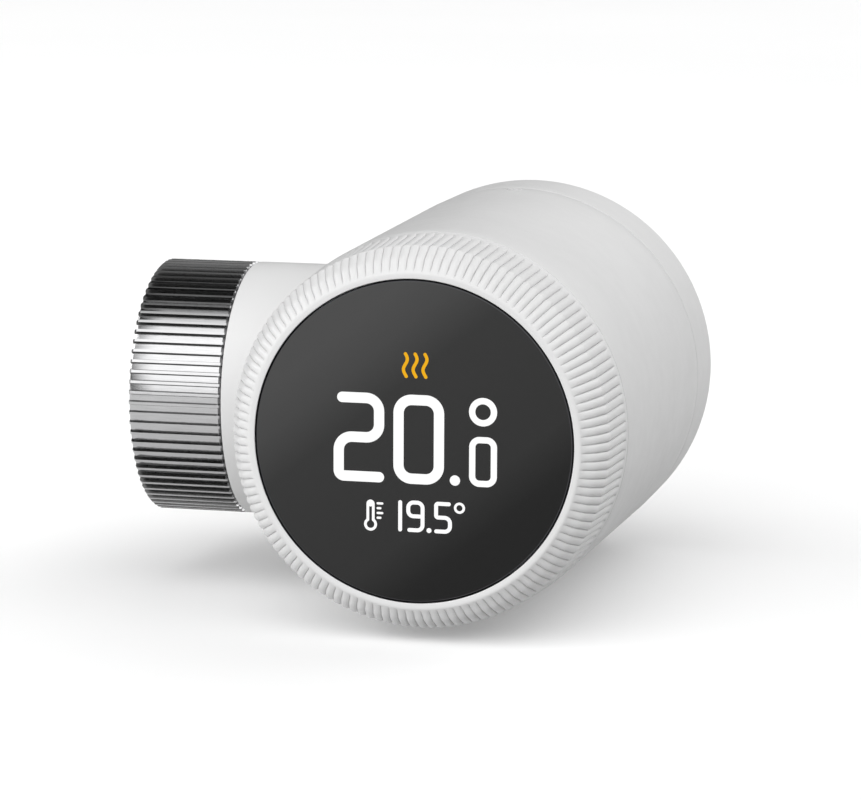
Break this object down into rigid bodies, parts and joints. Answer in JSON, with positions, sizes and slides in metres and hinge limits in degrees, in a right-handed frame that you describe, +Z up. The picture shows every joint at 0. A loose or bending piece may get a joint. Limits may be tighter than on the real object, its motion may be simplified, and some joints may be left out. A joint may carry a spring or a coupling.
{
  "type": "motorised radiator valve head",
  "caption": "Round battery radiator valve head with a turning ribbed dial round a push display, and a side arm with a ridged union nut.",
  "frame": {"origin": "centre of the union nut's open mouth, on the valve's axis", "axes": "-X out of the nut towards the valve, -Y out of the display, +Z up"},
  "size_m": [0.0733, 0.0755, 0.0544],
  "materials": {
    "dark_glass": "smoked window, satin sheen",
    "black_plastic": "matte moulded",
    "white_inner": "diffusing white",
    "circuit_board": "solder mask",
    "led": "clear encapsulated",
    "steel": "turned",
    "white_dial": "satin moulded",
    "ferrite": "bonded ferrite",
    "acetal": "waxy natural",
    "spring_steel": "bright wire",
    "grey_inner": "moulded grey",
    "screw_steel": "zinc plated",
    "white_shell": "fine satin moulded",
    "cell_jacket": "printed film",
    "contact_brass": "plated strip",
    "chip_black": "moulded epoxy",
    "sensor_epoxy": "epoxy bead",
    "ribbon": "flat cable film",
    "motor_steel": "drawn can",
    "gear_brass": "machined",
    "pusher_metal": "turned",
    "tip_plastic": "hard wearing",
    "black_rubber": "soft seal",
    "nickel_nut": "nickel plated brass, satin bright"
  },
  "bodies": {
    "housing": {"light_guide": "white_inner", "led_board": "circuit_board", "display_leds": "led", "tactile_switch": "black_plastic", "detent_spring": "spring_steel", "front_frame": "grey_inner", "front_screws": "screw_steel", "body_shell": "white_shell", "battery_tray": "black_plastic", "battery_upper": "cell_jacket", "battery_lower": "cell_jacket", "front_contact_plate": "contact_brass", "front_contact_spring": "spring_steel", "main_board": "circuit_board", "board_chips": "chip_black", "temperature_sensor": "sensor_epoxy", "ribbon_cable": "ribbon", "gear_plate": "acetal", "gear_cover": "black_plastic", "cover_pillars": "acetal", "plate_screws": "screw_steel", "motor_can": "motor_steel", "motor_gearhead": "gear_brass", "motor_screws": "screw_steel", "idler_axle": "steel", "thrust_washer": "steel", "neck_sleeve": "grey_inner", "neck_screws": "screw_steel", "neck_seal": "black_rubber", "retaining_clip": "spring_steel"},
    "dial": {"dial_ring": "white_dial", "magnet_ring": "ferrite", "detent_ring": "acetal"},
    "display": {"display_lens": "dark_glass", "button_plate": "black_plastic"},
    "plunger": {"switch_plunger": "steel"},
    "nut": {"union_nut": "nickel_nut"},
    "cap": {"battery_cap": "white_shell", "cap_bridge_plate": "contact_brass", "cap_contact_spring": "spring_steel"},
    "output": {"output_gear": "acetal"},
    "idler": {"idler_gear": "acetal"},
    "pinion": {"motor_pinion": "gear_brass"},
    "pusher": {"pusher_screw": "pusher_metal", "pusher_tip": "tip_plastic"}
  },
  "joints": [
    {"name": "dial_turn", "type": "hinge", "parent": "housing", "child": "dial", "pos_m": [0.04606, -0.0383, 0], "axis": [0, 1, 0], "continuous": true},
    {"name": "display_press", "type": "slide", "parent": "housing", "child": "display", "axis": [0, 1, 0], "range_m": [0, 0.0004], "stiffness_N_per_m": 4000, "springref_m": -0.0003},
    {"name": "plunger_press", "type": "slide", "parent": "housing", "child": "plunger", "axis": [0, 1, 0], "range_m": [0, 0.0004]},
    {"name": "nut_turn", "type": "hinge", "parent": "housing", "child": "nut", "pos_m": [0, 0, 0], "axis": [1, 0, 0], "continuous": true},
    {"name": "cap_off", "type": "slide", "parent": "housing", "child": "cap", "axis": [0, 1, 0], "range_m": [0, 0.03]},
    {"name": "output_turn", "type": "hinge", "parent": "housing", "child": "output", "pos_m": [0.03, 0, 0], "axis": [-1, 0, 0], "range_deg": [0, 1080]},
    {"name": "idler_turn", "type": "hinge", "parent": "housing", "child": "idler", "pos_m": [0.04606, 0.0112, 0.01171], "axis": [-1, 0, 0], "range_deg": [-3090, 0]},
    {"name": "pinion_turn", "type": "hinge", "parent": "housing", "child": "pinion", "pos_m": [0.04606, 0.0173, 0], "axis": [-1, 0, 0], "range_deg": [0, 8240]},
    {"name": "pusher_slide", "type": "slide", "parent": "housing", "child": "pusher", "axis": [-1, 0, 0], "range_m": [0, 0.00451]}
  ],
  "couplings": [
    {"joint": "plunger_press", "follows": "display_press", "ratio": 1},
    {"joint": "idler_turn", "follows": "output_turn", "ratio": -2.8571},
    {"joint": "pinion_turn", "follows": "output_turn", "ratio": 7.619},
    {"joint": "pusher_slide", "follows": "output_turn", "m_per_rad": 0.00023873}
  ]
}
